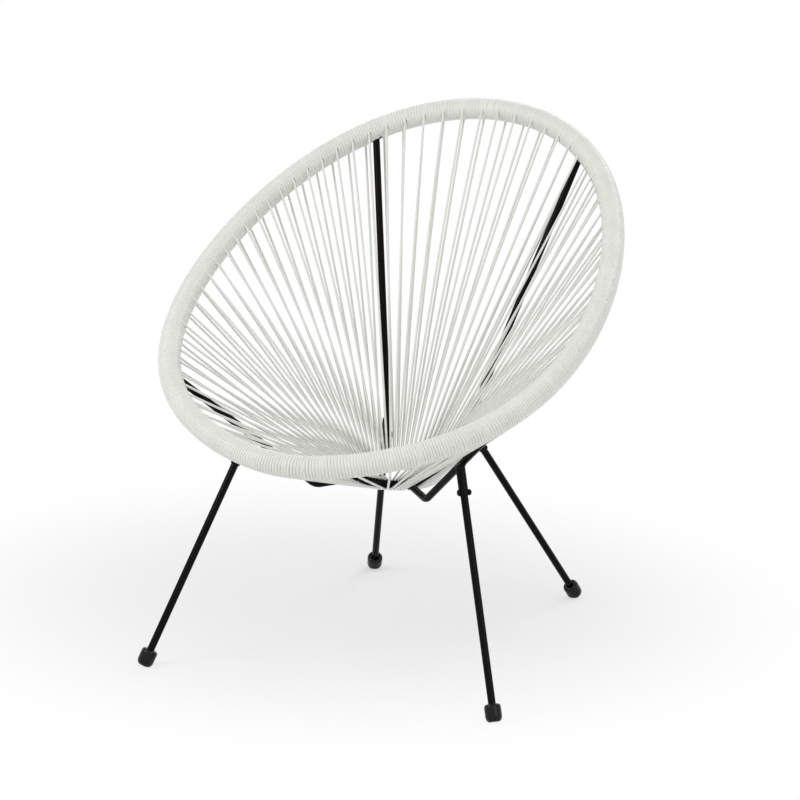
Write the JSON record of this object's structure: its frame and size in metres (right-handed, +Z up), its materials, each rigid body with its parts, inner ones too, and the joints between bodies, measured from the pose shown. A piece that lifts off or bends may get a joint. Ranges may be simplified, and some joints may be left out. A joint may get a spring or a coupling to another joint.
{
  "type": "acapulco chair",
  "caption": "Outdoor lounge chair with a cord-wound egg-shaped rim, a bowl seat of cords strung to a small hub ring, and a bolted four-leg steel frame.",
  "frame": {"origin": "on the floor, below the middle of the chair's overall box", "axes": "+Z up, the seat opens towards -Y, +X is the right-hand side seen from the front"},
  "size_m": [0.6652, 0.7995, 0.7869],
  "materials": {
    "frame_paint": "gloss black powder coat on round steel",
    "bolt_metal": "black-finished cross bolt and nut",
    "cap_plastic": "black moulded foot cap",
    "seat_cord": "off-white round plastic cord, soft sheen"
  },
  "bodies": {
    "root": {"hoop_tube": "frame_paint", "hub_ring": "frame_paint", "rib_front_left": "frame_paint", "leg_front_left": "frame_paint", "leg_socket_front_left": "frame_paint", "leg_bolt_front_left": "bolt_metal", "leg_nut_front_left": "bolt_metal", "foot_cap_front_left": "cap_plastic", "rib_front_right": "frame_paint", "leg_front_right": "frame_paint", "leg_socket_front_right": "frame_paint", "leg_bolt_front_right": "bolt_metal", "leg_nut_front_right": "bolt_metal", "foot_cap_front_right": "cap_plastic", "rib_back_left": "frame_paint", "leg_back_left": "frame_paint", "leg_socket_back_left": "frame_paint", "leg_bolt_back_left": "bolt_metal", "leg_nut_back_left": "bolt_metal", "foot_cap_back_left": "cap_plastic", "rib_back_right": "frame_paint", "leg_back_right": "frame_paint", "leg_socket_back_right": "frame_paint", "leg_bolt_back_right": "bolt_metal", "leg_nut_back_right": "bolt_metal", "foot_cap_back_right": "cap_plastic", "seat_cord_left_1": "seat_cord", "seat_cord_left_2": "seat_cord", "seat_cord_left_3": "seat_cord", "seat_cord_left_4": "seat_cord", "seat_cord_back_1": "seat_cord", "seat_cord_back_2": "seat_cord", "seat_cord_back_3": "seat_cord", "seat_cord_back_4": "seat_cord", "seat_cord_right_1": "seat_cord", "seat_cord_right_2": "seat_cord", "seat_cord_right_3": "seat_cord", "seat_cord_right_4": "seat_cord", "seat_cord_front_1": "seat_cord", "seat_cord_front_2": "seat_cord", "seat_cord_front_3": "seat_cord", "seat_cord_front_4": "seat_cord"}
  },
  "joints": []
}
